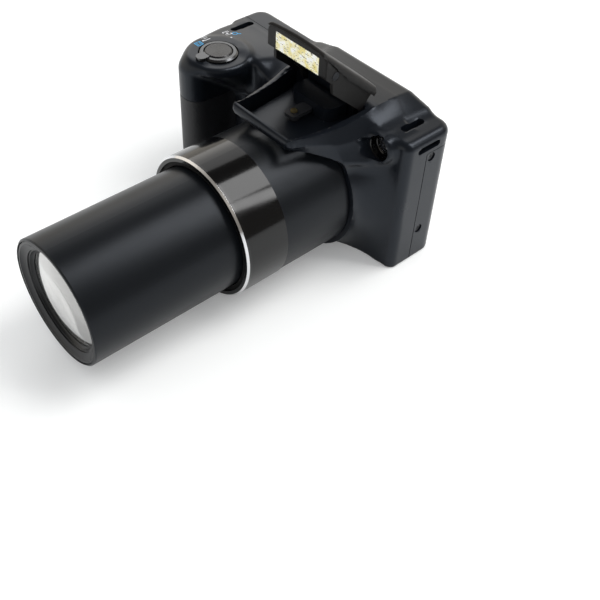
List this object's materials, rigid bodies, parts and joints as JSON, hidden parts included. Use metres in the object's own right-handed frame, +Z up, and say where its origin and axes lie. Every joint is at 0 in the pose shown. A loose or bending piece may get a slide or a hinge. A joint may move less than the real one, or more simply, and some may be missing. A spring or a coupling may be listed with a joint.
{
  "type": "bridge camera",
  "caption": "Bridge camera with a run-out zoom lens on one side, a deep hand grip and a raised pop-up flash on the hump.",
  "frame": {"origin": "on the plane of the base, halfway across the body's width, on the line of the strap eyelets", "axes": "+X to the right seen from the front, away from the grip; the lens looks along -Y; +Z up"},
  "size_m": [0.1044, 0.143, 0.0869],
  "materials": {
    "case": "fine matt charcoal",
    "grip_rubber": "leather grained",
    "barrel_black": "satin",
    "gloss_black": "polished",
    "inner_black": "matt",
    "screen_black": "polished",
    "button_gloss": "semi-gloss",
    "seal_rubber": "matt",
    "ring_metal": "anodised, cut bevel",
    "lever_metal": "satin grey",
    "screw_steel": "zinc plated",
    "rod_steel": "ground",
    "chassis_steel": "rolled sheet",
    "bracket_steel": "black, worn edges",
    "motor_metal": "plain",
    "reflector_metal": "bright",
    "bush_brass": "turned",
    "clear_glass": "clear",
    "flash_lens": "ribbed diffuser",
    "lens_glass": "coated",
    "sensor_glass": "polished",
    "board_green": "lacquered",
    "battery_grey": "matt",
    "card_blue": "matt"
  },
  "bodies": {
    "camera_body": {"front_shell": "case", "rear_shell": "case", "top_plate": "case", "grip_skin": "grip_rubber", "case_screws": "screw_steel", "chassis_frame": "chassis_steel", "tripod_bush": "bush_brass", "af_lamp_window": "clear_glass", "outer_barrel": "barrel_black", "gloss_sleeve": "gloss_black", "chrome_ring": "ring_metal", "barrel_seal": "seal_rubber", "lens_base": "inner_black", "guide_rods": "rod_steel", "image_sensor": "sensor_glass", "zoom_motor": "motor_metal", "focus_motor": "motor_metal", "flash_pins": "rod_steel", "latch_block": "case", "latch_bracket": "bracket_steel", "button_board": "board_green", "lcd_window": "screen_black", "lcd_panel": "inner_black", "main_board": "board_green", "flash_capacitor": "gloss_black", "speaker": "motor_metal", "battery_box": "inner_black", "battery": "battery_grey", "memory_card": "card_blue", "door_pin": "rod_steel", "terminal_socket": "chassis_steel"},
    "barrel": {"front_barrel": "barrel_black", "front_bezel": "inner_black", "front_cell": "inner_black", "front_element": "lens_glass", "second_element": "lens_glass"},
    "cam": {"cam_ring": "inner_black"},
    "zoom_group": {"zoom_carriage": "inner_black", "zoom_glass": "lens_glass", "iris_unit": "inner_black"},
    "focus_group": {"focus_carriage": "inner_black", "focus_glass": "lens_glass"},
    "flash_head": {"flash_cover": "case", "flash_case": "case", "flash_window": "flash_lens", "flash_reflector": "reflector_metal", "flash_tube": "clear_glass", "flash_screws": "screw_steel"},
    "lever": {"zoom_lever": "lever_metal"},
    "shutter": {"shutter_button": "button_gloss"},
    "power": {"power_button": "button_gloss"},
    "movie": {"movie_button": "button_gloss"},
    "play": {"play_button": "button_gloss"},
    "menu": {"menu_button": "button_gloss"},
    "auto": {"auto_button": "button_gloss"},
    "pad": {"control_pad": "button_gloss"},
    "set": {"set_button": "button_gloss"},
    "door": {"battery_door": "case"},
    "latch": {"door_latch": "case"},
    "side_cover": {"terminal_cover": "case"}
  },
  "joints": [
    {"name": "lens_zoom", "type": "slide", "parent": "camera_body", "child": "barrel", "axis": [0, -1, 0], "range_m": [-0.0575, 0]},
    {"name": "cam_turn", "type": "hinge", "parent": "camera_body", "child": "cam", "pos_m": [0.012, 0, 0.0272], "axis": [0, -1, 0], "range_deg": [-151, 0]},
    {"name": "zoom_group_slide", "type": "slide", "parent": "camera_body", "child": "zoom_group", "axis": [0, -1, 0], "range_m": [-0.01801, 0]},
    {"name": "focus_slide", "type": "slide", "parent": "camera_body", "child": "focus_group", "axis": [0, -1, 0], "range_m": [-0.003, 0.003]},
    {"name": "flash_tilt", "type": "hinge", "parent": "camera_body", "child": "flash_head", "pos_m": [0.012, -0.0024, 0.057], "axis": [1, 0, 0], "range_deg": [0, 45]},
    {"name": "zoom_lever_turn", "type": "hinge", "parent": "camera_body", "child": "lever", "pos_m": [-0.0338, -0.0226, 0.057], "axis": [0, 0, 1], "range_deg": [-20, 20], "stiffness_Nm_per_rad": 0.006},
    {"name": "shutter_press", "type": "slide", "parent": "camera_body", "child": "shutter", "axis": [0, 0, -1], "range_m": [0, 0.0008], "stiffness_N_per_m": 400},
    {"name": "power_press", "type": "slide", "parent": "camera_body", "child": "power", "axis": [0, 0, -1], "range_m": [0, 0.0004], "stiffness_N_per_m": 700},
    {"name": "movie_press", "type": "slide", "parent": "camera_body", "child": "movie", "axis": [0, -1, 0], "range_m": [0, 0.0004], "stiffness_N_per_m": 700},
    {"name": "play_press", "type": "slide", "parent": "camera_body", "child": "play", "axis": [0, -1, 0], "range_m": [0, 0.0004], "stiffness_N_per_m": 700},
    {"name": "menu_press", "type": "slide", "parent": "camera_body", "child": "menu", "axis": [0, -1, 0], "range_m": [0, 0.0004], "stiffness_N_per_m": 700},
    {"name": "auto_press", "type": "slide", "parent": "camera_body", "child": "auto", "axis": [0, -1, 0], "range_m": [0, 0.0004], "stiffness_N_per_m": 700},
    {"name": "pad_press", "type": "slide", "parent": "camera_body", "child": "pad", "axis": [0, -1, 0], "range_m": [0, 0.0004], "stiffness_N_per_m": 700},
    {"name": "set_press", "type": "slide", "parent": "camera_body", "child": "set", "axis": [0, -1, 0], "range_m": [0, 0.0004], "stiffness_N_per_m": 700},
    {"name": "battery_door_turn", "type": "hinge", "parent": "camera_body", "child": "door", "pos_m": [-0.0324, -0.0079, 0.00075], "axis": [0, 1, 0], "range_deg": [-95, 0]},
    {"name": "door_latch_slide", "type": "slide", "parent": "door", "child": "latch", "axis": [1, 0, 0], "range_m": [0, 0.002]},
    {"name": "terminal_cover_turn", "type": "hinge", "parent": "camera_body", "child": "side_cover", "pos_m": [-0.0516, -0.0012, 0.0275], "axis": [0, 0, -1], "range_deg": [0, 90]}
  ],
  "couplings": [
    {"joint": "cam_turn", "follows": "lens_zoom", "rad_per_m": 45.5},
    {"joint": "zoom_group_slide", "follows": "lens_zoom", "ratio": 0.313}
  ]
}
